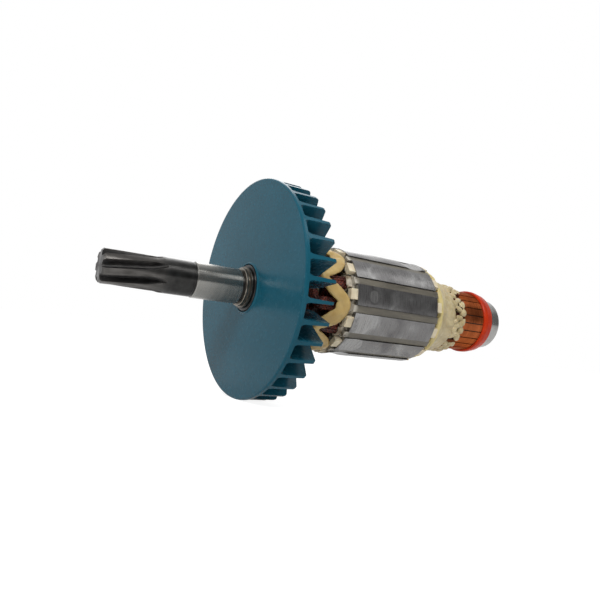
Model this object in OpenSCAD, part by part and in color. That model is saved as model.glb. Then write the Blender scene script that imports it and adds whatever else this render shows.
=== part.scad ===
// Armature of a universal motor, with its pinion, cooling fan, windings,
// commutator and rear ball bearing.
// Millimetres. X runs along the shaft from the pinion to the rear bearing, Z is up.
// The origin is at the middle of the front bearing journal, on the shaft axis.
// Angles round the shaft start at +Z and turn towards -Y.

/* [Shaft and pinion] */
// Diameter of the front bearing journal
journal_d = 17; // [16.5:0.5:20]
// Length of the front bearing journal
journal_l = 22.4; // [16:0.2:32]
// Diameter of the plain collar between the pinion and the journal
collar_d = 16.3; // [15.8:0.1:16.5]
// Length of the plain collar
collar_l = 15.4; // [8:0.2:18]
// Outside diameter of the pinion
pinion_d = 15.5; // [14.5:0.1:15.8]
// Root diameter of the pinion
pinion_root_d = 9.2; // [8:0.2:11]
// Length of the pinion's teeth, with the cutter's run-out
pinion_l = 26.7; // [22:0.1:36]
// Number of pinion teeth
pinion_teeth = 7; // [6:1:9]
// Width of the gap between two teeth at the root
tooth_gap_root = 1.7; // [1.2:0.1:2.4]
// Width of the gap between two teeth at the outside diameter
tooth_gap_tip = 4.4; // [3.6:0.1:5]
// Helix angle of the teeth
helix = 7; // [0:1:9]
// Radius of the cutter that leaves the run-out at the end of each gap
gear_cutter_r = 14; // [10:1:20]
// Diameter of the shaft through the core and the commutator
shaft_d = 12; // [10:0.5:12.5]
// Bore of the rear bearing
bearing_bore = 10; // [8:0.5:10]

/* [Fan] */
// Outside diameter of the fan
fan_d = 108; // [90:2:120]
// Thickness of the fan's disc
fan_disc_t = 2; // [1.5:0.25:3]
// Number of blades
blade_count = 36; // [24:1:40]
// Thickness of a blade at its free edge
blade_t = 1; // [0.8:0.1:1.6]
// Reach of a blade behind the disc, at the outside
blade_reach_out = 14.4; // [8:0.2:16]
// Reach of a blade behind the disc, at its inner end
blade_reach_in = 17.8; // [14:0.2:19]
// Diameter at the inner ends of the blades
blade_inner_d = 64; // [58:1:76]
// Radius of a blade's rounded outer corner
blade_corner_r = 1.6; // [0.5:0.1:3]
// Diameter of the fan's rear hub
fan_hub_d = 34; // [28:1:44]
// Distance from the end of the journal to the fan's front face
fan_gap = 5.5; // [4:0.5:9]
// Diameter of the steel bush in the fan
bush_d = 22.6; // [20:0.2:25]
// Bore of the steel bush
bush_bore = 14; // [13:0.5:15.5]

/* [Core] */
// Diameter of the laminated core
core_d = 56.4; // [54:0.2:60]
// Length of the laminated core
core_l = 54; // [40:1:70]
// Distance from the fan's front face to the core
fan_to_core = 47.4; // [46:0.5:60]
// Number of slots, which is also the number of coils
slot_count = 12; // [12:1:12]
// Width of the slot openings between the tooth tips
slot_mouth = 4; // [3:0.1:4.6]
// Width of the tooth stems
tooth_w = 4.2; // [3.6:0.1:4.6]
// Diameter of the circle through the slot bottoms
slot_bottom_d = 29.6; // [28.4:0.2:30]
// Radial thickness of the tooth tips at the slot mouth
tooth_tip_t = 2; // [1.6:0.1:2.4]
// Diameter of the insulating sleeve on the shaft
sleeve_d = 16; // [14.5:0.5:16]
// Length of the finger tabs on the front end insulator
tab_front_l = 4; // [2.6:0.2:5]
// Length of the finger tabs on the rear end insulator
tab_rear_l = 3.4; // [1.6:0.2:4]
// Width of the finger tabs
tab_w = 5.3; // [4:0.1:6.5]
// Wall of the slot liners
liner_t = 0.3; // [0.2:0.05:0.4]
// Reach of the slot liners past the core at each end
liner_reach = 1.6; // [1:0.2:2]
// Depth of the wedges below the core's surface
wedge_depth = 0.7; // [0.5:0.1:1.2]
// Room on each side of a wedge in its slot's mouth
wedge_gap = 0.25; // [0.1:0.05:0.4]

/* [Windings] */
// Thickness of one layer of end turns at the fan end
layer_front = 3.5; // [3:0.1:3.6]
// Thickness of one layer of end turns at the commutator end
layer_rear = 2.6; // [2.2:0.1:2.8]
// Radius of the inner coil sides in the slots
coil_r_in = 17.6; // [17.5:0.1:17.7]
// Radius of the outer coil sides in the slots
coil_r_out = 22.5; // [22.4:0.1:22.7]
// Half height of a coil side in its slot
coil_hh = 2.2; // [1.8:0.1:2.2]
// Distance from the core to the middle of the binding bead
core_to_bead = 11.4; // [10:0.2:12]
// Width of the binding bead round the front end turns
bead_w = 5.4; // [4.6:0.2:6.2]
// Thickness of the binding bead
bead_t = 2.6; // [2:0.1:3]
// Width of the raised lip of resin beside the rear end insulator
resin_lip_w = 4.6; // [4:0.2:6]
// Height of the raised lip of resin
resin_lip_h = 1.6; // [0.8:0.1:2]
// Number of peaks of the bead's zigzag
bead_peaks = 6; // [6:1:6]
// Swing of the zigzag along the shaft, each way
bead_swing = 6.4; // [4:0.2:6.6]

/* [Commutator] */
// Diameter of the brush track
comm_d = 35.6; // [33:0.2:37]
// Number of bars
bar_count = 24; // [24:1:24]
// Length of the brush track
track_l = 17.2; // [12:0.5:22]
// Length of the hook zone
hook_zone_l = 8; // [7:0.5:10]
// Distance from the core to the hook zone
core_to_hooks = 23.6; // [23:0.2:30]
// Gap between two bars
bar_gap = 0.6; // [0.4:0.05:0.8]
// Radial depth of the bars
bar_depth = 5; // [4:0.25:6]
// Depth of the undercut between the bars
undercut = 0.8; // [0.4:0.1:1.2]
// Width of a hook
hook_w = 2.2; // [1.8:0.1:2.8]
// Thickness of a hook
hook_t = 0.9; // [0.7:0.05:1.1]
// Diameter of the connecting wires under the hooks
wire_d = 0.9; // [0.6:0.05:1]
// Diameter of the insulating washer beside the commutator
washer_d = 37.8; // [36.6:0.2:38.4]
// Length of the insulating washer
washer_l = 8; // [5:0.5:10]

/* [Rear bearing] */
// Outside diameter of the bearing
bearing_od = 30; // [29:0.5:32]
// Width of the bearing
bearing_w = 9; // [8.5:0.5:10]
// Diameter of the balls
ball_d = 4.762; // [4.4:0.02:4.8]
// Number of balls
ball_count = 8; // [6:1:9]
// Running clearance between the balls and everything that they touch
ball_gap = 0.03; // [0.02:0.01:0.08]
// Running clearance between the seals and the inner ring
seal_gap = 0.3; // [0.2:0.05:0.5]

/* [Hidden] */

$fn = 96;
// Overrun of a cutting shape past the surface that it cuts
over = 1;

// Places along the shaft
journal_x0 = -journal_l / 2;
journal_x1 = journal_l / 2;
collar_x0 = journal_x0 - collar_l;
pinion_x0 = collar_x0 - pinion_l;
// Turned relief between the journal and the bush
relief_l = 1.2;
bush_x0 = journal_x1 + relief_l;
fan_x = journal_x1 + fan_gap;
fan_back_x = fan_x + fan_disc_t;
hub_x1 = fan_back_x + blade_reach_in - 1;
core_x0 = fan_x + fan_to_core;
core_x1 = core_x0 + core_l;
hooks_x0 = core_x1 + core_to_hooks;
track_x0 = hooks_x0 + hook_zone_l;
track_x1 = track_x0 + track_l;
washer_x1 = track_x1 + washer_l;
// The washer seats on the bearing's inner ring through a raised land
washer_land = 0.5;
bearing_x0 = washer_x1 + washer_land;
bearing_x1 = bearing_x0 + bearing_w;
shaft_x1 = bearing_x1 + 1.5;
chamfer = 0.6;
// The cutter runs out of the steel this far past the full depth of the gaps
gap_deep = (pinion_d - pinion_root_d) / 2;
runout_l = sqrt(gear_cutter_r * gear_cutter_r - (gear_cutter_r - gap_deep) * (gear_cutter_r - gap_deep));
teeth_x1 = collar_x0 + 1 - runout_l;
// Grinding relief between the collar and the journal
journal_relief = 0.25;

// Middle of one gap between the pinion's teeth
gap_phase = 23;
// Slots start at this angle, and the teeth lie half a pitch further
slot_pitch = 360 / slot_count;
slot_phase = 8.8;
bar_pitch = 360 / bar_count;
bar_phase = 13.5;
blade_pitch = 360 / blade_count;
blade_phase = 6;

core_r = core_d / 2;
sleeve_r = sleeve_d / 2;
comm_r = comm_d / 2;
slot_bottom_r = slot_bottom_d / 2;
slot_top_r = core_r - tooth_tip_t;
// Where the slot walls meet the slanted undersides of the tooth tips
slot_wall_r = slot_top_r - 1.1;
// Thickness of the end insulators' faces
insulator_t = 1;
sleeve_x0 = hub_x1;
sleeve_x1 = hooks_x0;

// Half width of a slot at radius r, between two parallel tooth stems
function slot_half(r) = (r * sin(slot_pitch / 2) - tooth_w / 2) / cos(slot_pitch / 2);

// A solid of revolution about X from [x, radius] points
module turned(points) {
    rotate([0, 90, 0])
        rotate_extrude()
            polygon([for (p = points) [p[1], p[0]]]);
}

// A plain tube or disc on the shaft axis
module tube(x0, x1, outer_r, inner_r) {
    turned([[x0, inner_r], [x0, outer_r], [x1, outer_r], [x1, inner_r]]);
}

// Extrudes a section drawn in the Y-Z plane from x0 to x1
module along_x(x0, x1) {
    translate([x0, 0, 0])
        rotate([90, 0, 90])
            linear_extrude(x1 - x0)
                children();
}

// Copies of a shape round the shaft
module round_shaft(count, phase) {
    for (i = [0 : count - 1])
        rotate([phase + i * 360 / count, 0, 0])
            children();
}

// ---------------------------------------------------------------- shaft

// Section of the gear cutter: first value away from the shaft, second across the gap
function gap_section() = let (
        slope = (tooth_gap_tip - tooth_gap_root) / 2 / gap_deep,
        top = gap_deep + 3)
    [[0, -tooth_gap_root / 4], [0.35, -tooth_gap_root / 2],
     [top, -tooth_gap_root / 2 - slope * top], [top, tooth_gap_root / 2 + slope * top],
     [0.35, tooth_gap_root / 2], [0, tooth_gap_root / 4]];

// One gap between two teeth, with the round run-out that the cutter leaves
module tooth_gap() {
    root_r = pinion_root_d / 2;
    mid_x = (pinion_x0 + collar_x0) / 2;
    translate([mid_x, 0, 0])
        rotate([0, 0, helix])
            translate([-mid_x, 0, root_r]) {
                translate([pinion_x0 - 2 * over, 0, 0])
                    rotate([90, 0, 90])
                        linear_extrude(teeth_x1 - pinion_x0 + 2 * over)
                            polygon([for (p = gap_section()) [p[1], p[0]]]);
                translate([teeth_x1, 0, gear_cutter_r])
                    rotate([90, 0, 0])
                        rotate_extrude(start = -91, angle = 70)
                            polygon([for (p = gap_section()) [gear_cutter_r - p[0], p[1]]]);
            }
}

module shaft() {
    pinion_r = pinion_d / 2;
    collar_r = collar_d / 2;
    journal_r = journal_d / 2;
    seat_r = bush_bore / 2;
    core_seat_r = shaft_d / 2;
    end_r = bearing_bore / 2;
    color("dimgray")
        difference() {
            turned([[pinion_x0, 0], [pinion_x0, pinion_r - 1], [pinion_x0 + 1, pinion_r],
                    [collar_x0 - 2.5, pinion_r], [collar_x0, collar_r],
                    [journal_x0 - 1.4, collar_r], [journal_x0 - 1.2, collar_r - journal_relief],
                    [journal_x0 - chamfer, collar_r - journal_relief], [journal_x0, journal_r],
                    [journal_x1, journal_r], [journal_x1, seat_r + 0.4],
                    [bush_x0, seat_r + 0.4], [bush_x0, seat_r],
                    [hub_x1, seat_r], [hub_x1, core_seat_r],
                    [bearing_x0, core_seat_r], [bearing_x0, end_r],
                    [shaft_x1 - chamfer, end_r], [shaft_x1, end_r - chamfer], [shaft_x1, 0]]);
            round_shaft(pinion_teeth, gap_phase)
                tooth_gap();
        }
}

// ------------------------------------------------------------------ fan

// Profile of a blade: first value is the radius, second the reach behind the disc
function blade_outline() = let (
        tip_r = fan_d / 2 - 0.3,
        root = -fan_disc_t / 3,
        arc = [for (a = [0 : 30 : 90])
                  [tip_r - blade_corner_r + blade_corner_r * cos(a),
                   blade_reach_out - blade_corner_r + blade_corner_r * sin(a)]])
    concat([[tip_r, root]], arc,
           [[blade_inner_d / 2 + 2, blade_reach_in], [blade_inner_d / 2, blade_reach_in - 2],
            [blade_inner_d / 2, root]]);

// Section across a blade: tapered for the mould's draft, with a fillet at its root
function blade_section() = let (
        t = blade_t / 2,
        long = blade_reach_in + over,
        draft = 0.5,
        root = 0.6)
    [[-t, long], [-t - draft, 1.9], [-t - draft - 0.35, 0.8], [-t - draft - 1.3, -root],
     [t + draft + 1.3, -root], [t + draft + 0.35, 0.8], [t + draft, 1.9], [t, long]];

module fan_blade() {
    translate([fan_back_x, 0, 0])
        intersection() {
            rotate([90, 0, 0])
                linear_extrude(8 * blade_t, center = true)
                    polygon([for (p = blade_outline()) [p[1], p[0]]]);
            linear_extrude(fan_d)
                polygon([for (p = blade_section()) [p[1], p[0]]]);
        }
}

module fan() {
    disc_r = fan_d / 2;
    bush_r = bush_d / 2;
    hub_r = fan_hub_d / 2;
    edge = 0.7;
    lip = 0.5;
    color("steelblue") {
        union() {
            turned([[fan_x + 2 * lip, bush_r], [fan_x - lip, bush_r + 0.6], [fan_x - lip, bush_r + 1],
                    [fan_x, bush_r + 1.6], [fan_x, disc_r - edge], [fan_x + 0.2, disc_r - 0.2],
                    [fan_x + edge, disc_r], [fan_back_x, disc_r],
                    [fan_back_x, hub_r + 2], [fan_back_x + 2, hub_r],
                    [hub_x1 - 1, hub_r - 0.5], [hub_x1, hub_r - 1.5], [hub_x1, bush_r]]);
            round_shaft(blade_count, blade_phase)
                fan_blade();
        }
    }
}

// Steel bush that carries the fan, with two turned ridges on its nose
module fan_bush() {
    bore_r = bush_bore / 2;
    outer_r = bush_d / 2;
    nose = fan_x - bush_x0;
    ridge_1 = journal_d / 2 + 0.9;
    ridge_2 = journal_d / 2 + 1.8;
    color("darkslategray")
        turned([[bush_x0, bore_r], [bush_x0, ridge_1 - 0.3], [bush_x0 + 0.3, ridge_1],
                [bush_x0 + 0.25 * nose, ridge_1], [bush_x0 + 0.3 * nose, ridge_1 - 0.6],
                [bush_x0 + 0.4 * nose, ridge_1 - 0.6], [bush_x0 + 0.45 * nose, ridge_2],
                [bush_x0 + 0.6 * nose, ridge_2], [bush_x0 + 0.65 * nose, ridge_2 - 0.5],
                [bush_x0 + 0.75 * nose, ridge_2 - 0.5], [bush_x0 + 0.8 * nose, outer_r - 0.3],
                [fan_x - 0.5, outer_r], [hub_x1, outer_r], [hub_x1, bore_r]]);
}

// ----------------------------------------------------------------- core

module shaft_sleeve() {
    color("antiquewhite")
        tube(sleeve_x0, sleeve_x1, sleeve_r, shaft_d / 2);
}

// Outline of one slot in the Y-Z plane, with the slot's middle on +Z
module slot_shape() {
    polygon([[-slot_half(slot_bottom_r), slot_bottom_r], [-slot_half(slot_wall_r), slot_wall_r],
             [-slot_mouth / 2, slot_top_r], [-slot_mouth / 2, core_r + over],
             [slot_mouth / 2, core_r + over], [slot_mouth / 2, slot_top_r],
             [slot_half(slot_wall_r), slot_wall_r], [slot_half(slot_bottom_r), slot_bottom_r]]);
}

// Scooped balance cuts: tooth number, place of the middle from the core's front, depth
balance_cuts = [[2, 0.19 * core_l, 0.3], [3, 0.13 * core_l, 0.6], [4, 0.13 * core_l, 0.9],
                [5, 0.13 * core_l, 1.1], [0, 0.85 * core_l, 1.2]];
balance_cutter_r = 24;

module balance_cut(tooth, from_front, depth) {
    rotate([slot_phase + (tooth + 0.5) * slot_pitch, 0, 0])
        translate([core_x0 + from_front, 0, core_r - depth + balance_cutter_r])
            rotate([90, 0, 0])
                cylinder(h = core_r * 0.42, r = balance_cutter_r, center = true);
}

module core_laminations() {
    color("silver")
        difference() {
            along_x(core_x0, core_x1)
                difference() {
                    circle(core_r);
                    circle(sleeve_r);
                    for (i = [0 : slot_count - 1])
                        rotate(slot_phase + i * slot_pitch)
                            slot_shape();
                }
            for (c = balance_cuts)
                balance_cut(c[0], c[1], c[2]);
        }
}

// Face of an end insulator: the core's outline without its tooth tips
module insulator_face() {
    difference() {
        circle(slot_wall_r);
        circle(sleeve_r);
        for (i = [0 : slot_count - 1])
            rotate(slot_phase + i * slot_pitch)
                slot_shape();
    }
}

// Fingers that stand on the teeth and hold the end turns in
module finger_tabs(x0, x1) {
    root_r = slot_wall_r - 0.3;
    round_shaft(slot_count, slot_phase + slot_pitch / 2)
        translate([x0, -tab_w / 2, root_r])
            cube([x1 - x0, tab_w, core_r - 0.5 - root_r]);
}

module front_end_insulator() {
    color("ivory")
        union() {
            along_x(core_x0 - insulator_t, core_x0)
                insulator_face();
            finger_tabs(core_x0 - tab_front_l, core_x0);
        }
}

module rear_end_insulator() {
    color("ivory")
        union() {
            along_x(core_x1, core_x1 + insulator_t)
                insulator_face();
            finger_tabs(core_x1, core_x1 + tab_rear_l);
        }
}

// U-shaped paper liner of one slot
module slot_liner() {
    bottom = slot_bottom_r;
    top = slot_wall_r - 0.4;
    along_x(core_x0 - liner_reach, core_x1 + liner_reach)
        polygon([[-slot_half(bottom), bottom], [-slot_half(top), top],
                 [-slot_half(top) + liner_t, top],
                 [-slot_half(bottom + liner_t) + liner_t, bottom + liner_t],
                 [slot_half(bottom + liner_t) - liner_t, bottom + liner_t], [slot_half(top) - liner_t, top],
                 [slot_half(top), top], [slot_half(bottom), bottom]]);
}

module slot_liners() {
    color("darkkhaki")
        round_shaft(slot_count, slot_phase)
            slot_liner();
}

// Wedge that closes one slot, with a raised middle in the slot's mouth
module slot_wedge() {
    half = slot_mouth / 2 - wedge_gap;
    along_x(core_x0 - liner_reach, core_x1 + liner_reach)
        polygon([[-slot_half(slot_wall_r) + 0.5, slot_wall_r - 0.2], [-half, slot_top_r - 0.2],
                 [-half, core_r - wedge_depth], [half, core_r - wedge_depth],
                 [half, slot_top_r - 0.2], [slot_half(slot_wall_r) - 0.5, slot_wall_r - 0.2]]);
}

module slot_wedges() {
    color("darkolivegreen")
        round_shaft(slot_count, slot_phase)
            slot_wedge();
}

// ------------------------------------------------------------- windings

// The coils are wound in opposite pairs, one layer of end turns for each pair.
// The first pair lies next to the core, and each later pair crosses outside it.
pair_count = slot_count / 2;
coil_span = pair_count - 1;
layer_start = 2;
end_sides = 8;
run_r = sleeve_r + 0.25;
turn_hh_front = layer_front / 2 - 0.1;
turn_hh_rear = layer_rear / 2 - 0.1;
turn_hw = 2.2;
reach_front = layer_start + pair_count * layer_front;
reach_rear = layer_start + pair_count * layer_rear;

// A coil lies at the bottom of its slot, level 0, or on top of another coil, level 1
function level_a(pair) = pair == pair_count - 1 ? 1 : 0;
function level_b(pair) = pair == 0 ? 0 : 1;

// Radius and half height of a coil side at a share t of the end turns' reach
function side_r(level, t, rear) = let (
        r0 = level == 0 ? coil_r_in : coil_r_out,
        drop = level == 0 ? (rear ? 1 : 0.5) : (rear ? 3.3 : 1.8))
    r0 - drop * t;
function side_hh(t, rear) = coil_hh - (rear ? 1 : 0.5) * t;
function side_hw(level) = level == 0 ? 1.9 : 3.1;

function polar(r, a) = [-r * sin(a), r * cos(a)];

// Stations of one end turn, each [x, y, z, half height, half width], from side a to side b
function end_turn(pair, flip, rear) = let (
        dir = rear ? 1 : -1,
        face = rear ? core_x1 : core_x0,
        layer = rear ? layer_rear : layer_front,
        reach = rear ? reach_rear : reach_front,
        hh = rear ? turn_hh_rear : turn_hh_front,
        mid_t = layer_start + (pair + 0.5) * layer,
        share = mid_t / reach,
        bend = min(2.4, mid_t - 0.8),
        angle_mid = slot_phase + (pair + coil_span / 2 + flip * pair_count) * slot_pitch,
        half_span = coil_span * slot_pitch / 2,
        ra = side_r(level_a(pair), share, rear),
        rb = side_r(level_b(pair), share, rear),
        sh = side_hh(share, rear),
        a0 = angle_mid - half_span,
        b0 = angle_mid + half_span,
        x_turn = face + dir * mid_t,
        riser_a = polar(ra, a0),
        bend_a = polar(ra - 0.3 * bend, a0),
        riser_b = polar(rb, b0),
        bend_b = polar(rb - 0.3 * bend, b0))
    concat(
        [[face + dir * (mid_t - bend), riser_a[0], riser_a[1], sh, side_hw(level_a(pair))],
         [face + dir * (mid_t - 0.3 * bend), bend_a[0], bend_a[1], (sh + hh) / 2, turn_hw]],
        [for (i = [0 : 8]) let (
                u = i / 4 - 1,
                r_end = (u < 0 ? ra : rb) - bend,
                lateral = abs(u) * r_end * sin(half_span),
                edge = r_end * cos(half_span),
                top = run_r + turn_hw,
                out = edge + (top - edge) * (1 - pow(abs(u), 1.5)),
                side = u < 0 ? -1 : 1,
                m = polar(out, angle_mid),
                l = polar(lateral * side, angle_mid + 90))
            [x_turn, m[0] + l[0], m[1] + l[1], hh, turn_hw]],
        [[face + dir * (mid_t - 0.3 * bend), bend_b[0], bend_b[1], (sh + hh) / 2, turn_hw],
         [face + dir * (mid_t - bend), riser_b[0], riser_b[1], sh, side_hw(level_b(pair))]]);

// Stations of a coil side where it enters and leaves its slot
function slot_side(pair, flip, is_b, from_rear) = let (
        level = is_b ? level_b(pair) : level_a(pair),
        angle = slot_phase + (pair + (is_b ? coil_span : 0) + flip * pair_count) * slot_pitch,
        p = polar(side_r(level, 0, false), angle),
        ends = [[core_x0, p[0], p[1], coil_hh, side_hw(level)],
                [core_x1, p[0], p[1], coil_hh, side_hw(level)]])
    from_rear ? [ends[1], ends[0]] : ends;

function reversed(list) = [for (i = [len(list) - 1 : -1 : 0]) list[i]];

function coil_path(pair, flip) = concat(
    end_turn(pair, flip, false),
    slot_side(pair, flip, true, false),
    reversed(end_turn(pair, flip, true)),
    slot_side(pair, flip, false, true));

function unit(v) = v / norm(v);

// Closed tube along stations [x, y, z, half height, half width]. The width of the section
// stays across the shaft: in a slot it is tangential, and in an end turn it is radial.
module closed_tube(path, sides, across) {
    n = len(path);
    points = [for (i = [0 : n - 1]) let (
            here = [path[i][0], path[i][1], path[i][2]],
            before = path[(i + n - 1) % n],
            after = path[(i + 1) % n],
            t = unit([after[0] - before[0], after[1] - before[1], after[2] - before[2]]),
            w0 = across[i],
            w = unit(w0 - (w0 * t) * t),
            h = cross(t, w))
        for (j = [0 : sides - 1]) let (a = (j + 0.5) * 360 / sides)
            here + (w * path[i][4] * cos(a) + h * path[i][3] * sin(a)) / cos(180 / sides)];
    faces = [for (i = [0 : n - 1]) for (j = [0 : sides - 1]) let (
            i2 = (i + 1) % n,
            j2 = (j + 1) % sides,
            a = i * sides + j,
            b = i * sides + j2,
            c = i2 * sides + j2,
            d = i2 * sides + j)
        for (f = [[a, b, c], [a, c, d]]) f];
    polyhedron(points, faces, convexity = 8);
}

// Direction across the section at each station of a coil
function coil_across(pair, flip) = let (
        a0 = slot_phase + (pair + flip * pair_count) * slot_pitch,
        b0 = a0 + coil_span * slot_pitch,
        turn = end_turn(pair, flip, false),
        n = len(turn),
        tangent_a = polar(1, a0 + 90),
        tangent_b = polar(1, b0 + 90),
        front = [for (i = [0 : n - 1])
            i < 2 ? [0, -tangent_a[0], -tangent_a[1]] :
            i > n - 3 ? [0, tangent_b[0], tangent_b[1]] :
            let (d = unit([turn[i + 1][1] - turn[i - 1][1], turn[i + 1][2] - turn[i - 1][2]]))
            [0, -d[1], d[0]]])
    concat(front, [for (i = [0 : 1]) [0, tangent_b[0], tangent_b[1]]],
           reversed(front), [for (i = [0 : 1]) [0, -tangent_a[0], -tangent_a[1]]]);

module coil(number) {
    pair = (number - 1) % pair_count;
    flip = floor((number - 1) / pair_count);
    color("firebrick")
        closed_tube(coil_path(pair, flip), end_sides, coil_across(pair, flip));
}

// Stations of the zigzag bead on the front end turns
bead_steps = 12;
bead_x = core_x0 - core_to_bead;
bead_r = coil_r_out + coil_hh + 0.2 + bead_t / 2;
bead_phase = slot_phase + slot_pitch;
function bead_path() = [for (i = [0 : bead_peaks * bead_steps - 1]) let (
        a = bead_phase + i * 360 / (bead_peaks * bead_steps),
        wave = cos(i * 360 / bead_steps),
        p = polar(bead_r, a))
    [bead_x + bead_swing * wave, p[0], p[1], bead_t / 2, bead_w / 2]];
function bead_across() = let (path = bead_path(), n = len(path))
    [for (i = [0 : n - 1]) let (
            before = path[(i + n - 1) % n],
            after = path[(i + 1) % n],
            t = [after[0] - before[0], after[1] - before[1], after[2] - before[2]],
            out = [0, path[i][1], path[i][2]])
        unit(cross(t, out))];

module binding_bead() {
    color("khaki")
        closed_tube(bead_path(), end_sides, bead_across());
}

// Resin cone over the rear end turns and the connecting wires
module lead_resin() {
    x0 = core_x1 + tab_rear_l + 0.2;
    r0 = coil_r_out + coil_hh + 0.15;
    x1 = core_x1 + reach_rear;
    r1 = side_r(1, 1, true) + side_hh(1, true) + 0.3;
    color("khaki")
        turned([[x0, r0], [x0, r0 + 0.3], [x0 + 0.16 * resin_lip_w, r0 + 0.9 * resin_lip_h],
                [x0 + 0.44 * resin_lip_w, r0 + resin_lip_h],
                [x0 + 0.72 * resin_lip_w, r0 + 0.6 * resin_lip_h],
                [x0 + resin_lip_w, r0 + 0.1], [x1, r1 + 1], [hooks_x0 - 1.5, comm_r + 1.9],
                [hooks_x0 - 0.2, comm_r + 1.3], [hooks_x0 - 0.2, comm_r - 3],
                [x1 + 0.6, comm_r - 3], [x1 + 0.6, r1 - 0.4], [x1, r1]]);
}

// ----------------------------------------------------------- commutator

hook_x1 = track_x0 - 1.2;
// Run of a wire along the shaft before it turns under its hook
wire_run = 0.4 * hook_zone_l;
hook_r0 = comm_r + wire_d;

module bar_hook() {
    translate([hooks_x0, -hook_w / 2, comm_r - 0.5])
        cube([1.3, hook_w, wire_d + hook_t + 0.5]);
    translate([hooks_x0, -hook_w / 2, hook_r0])
        cube([hook_x1 - hooks_x0, hook_w, hook_t]);
}

// Section of the insulation between the bars, one flat fin for each gap
module bar_fins(outer_r) {
    for (i = [0 : bar_count - 1])
        rotate(bar_phase + (i + 0.5) * bar_pitch)
            translate([-bar_gap / 2, 0])
                square([bar_gap, outer_r]);
}

module commutator_bars() {
    color("peru")
        union() {
            along_x(hooks_x0, track_x1)
                difference() {
                    circle(comm_r);
                    circle(comm_r - bar_depth);
                    bar_fins(comm_r + over);
                }
            round_shaft(bar_count, bar_phase)
                bar_hook();
        }
}

module commutator_moulding() {
    color("saddlebrown")
        along_x(hooks_x0, track_x1)
            difference() {
                union() {
                    circle(comm_r - bar_depth);
                    bar_fins(comm_r - undercut);
                }
                circle(shaft_d / 2);
            }
}

// One wire under each hook, from the resin to the far side of the hook
module lead_wires() {
    wire_r = wire_d / 2;
    lead_r = comm_r + wire_r;
    color("firebrick")
        round_shaft(bar_count, bar_phase)
            union() {
                translate([hooks_x0 - 0.2, hook_w / 2 + wire_r, lead_r])
                    rotate([0, 90, 0])
                        cylinder(h = wire_run + 0.2, r = wire_r, $fn = 24);
                translate([hooks_x0 + wire_run, -hook_w / 2 - 0.3, lead_r])
                    rotate([-90, 0, 0])
                        cylinder(h = hook_w + 0.3 + wire_d, r = wire_r, $fn = 24);
            }
}

module insulation_washer() {
    washer_r = washer_d / 2;
    land_r = shaft_d / 2 + 2;
    color("orangered")
        turned([[track_x1, shaft_d / 2], [track_x1, washer_r - 0.6], [track_x1 + 0.6, washer_r],
                [track_x1 + 0.35 * washer_l, washer_r], [washer_x1 - 0.8, washer_r - 0.9],
                [washer_x1, washer_r - 1.8], [washer_x1, land_r],
                [bearing_x0, land_r], [bearing_x0, shaft_d / 2]]);
}

// -------------------------------------------------------- rear bearing

ball_pitch_r = (bearing_bore + bearing_od) / 4;
race_r = ball_d / 2 + ball_gap;
// The land heights beside the ball grooves
inner_land_r = ball_pitch_r - ball_d * 0.37;
outer_land_r = ball_pitch_r + ball_d * 0.37;
bearing_mid = (bearing_x0 + bearing_x1) / 2;
seal_t = 0.8;
seal_inset = 0.3;
cage_half_w = 2.9;
cage_half_t = 0.7;
ring_edge = 0.5;

module bearing_inner_ring() {
    bore_r = bearing_bore / 2;
    color("lightsteelblue")
        difference() {
            turned([[bearing_x0, bore_r], [bearing_x0, inner_land_r], [bearing_x1, inner_land_r],
                    [bearing_x1, bore_r]]);
            race_groove();
        }
}

// The groove that the balls run in, a torus round the shaft
module race_groove() {
    translate([bearing_mid, 0, 0])
        rotate([0, 90, 0])
            rotate_extrude()
                translate([ball_pitch_r, 0])
                    circle(race_r, $fn = 48);
}

module bearing_outer_ring() {
    outer_r = bearing_od / 2;
    color("lightsteelblue")
        difference() {
            turned([[bearing_x0, outer_land_r], [bearing_x0, outer_r - ring_edge],
                    [bearing_x0 + ring_edge, outer_r], [bearing_x1 - ring_edge, outer_r],
                    [bearing_x1, outer_r - ring_edge], [bearing_x1, outer_land_r]]);
            race_groove();
        }
}

module bearing_balls() {
    color("gainsboro")
        round_shaft(ball_count, 0)
            translate([bearing_mid, 0, ball_pitch_r])
                sphere(d = ball_d, $fn = 48);
}

module bearing_cage() {
    color("goldenrod")
        difference() {
            tube(bearing_mid - cage_half_w, bearing_mid + cage_half_w,
                 ball_pitch_r + cage_half_t, ball_pitch_r - cage_half_t);
            round_shaft(ball_count, 0)
                translate([bearing_mid, 0, ball_pitch_r])
                    sphere(d = ball_d + 2 * ball_gap, $fn = 48);
        }
}

module bearing_seal(x0) {
    color("black")
        tube(x0, x0 + seal_t, outer_land_r, inner_land_r + seal_gap);
}

module bearing_seal_front() {
    bearing_seal(bearing_x0 + seal_inset);
}

module bearing_seal_rear() {
    bearing_seal(bearing_x1 - seal_inset - seal_t);
}

shaft();
fan();
fan_bush();
shaft_sleeve();
core_laminations();
front_end_insulator();
rear_end_insulator();
slot_liners();
slot_wedges();
coil(1);  // coil_01
coil(2);  // coil_02
coil(3);  // coil_03
coil(4);  // coil_04
coil(5);  // coil_05
coil(6);  // coil_06
coil(7);  // coil_07
coil(8);  // coil_08
coil(9);  // coil_09
coil(10);  // coil_10
coil(11);  // coil_11
coil(12);  // coil_12
binding_bead();
lead_resin();
lead_wires();
commutator_bars();
commutator_moulding();
insulation_washer();
bearing_inner_ring();
bearing_outer_ring();
bearing_balls();
bearing_cage();
bearing_seal_front();
bearing_seal_rear();
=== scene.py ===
"""Looks of the motor armature: materials, wound wire, bonding resin, light and camera.

Shapes are worked out in millimetres, with X along the shaft, and make() turns them into metres.
Node materials work in metres.
"""

import math
import random

import bpy
from mathutils import Matrix, Vector, noise


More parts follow.
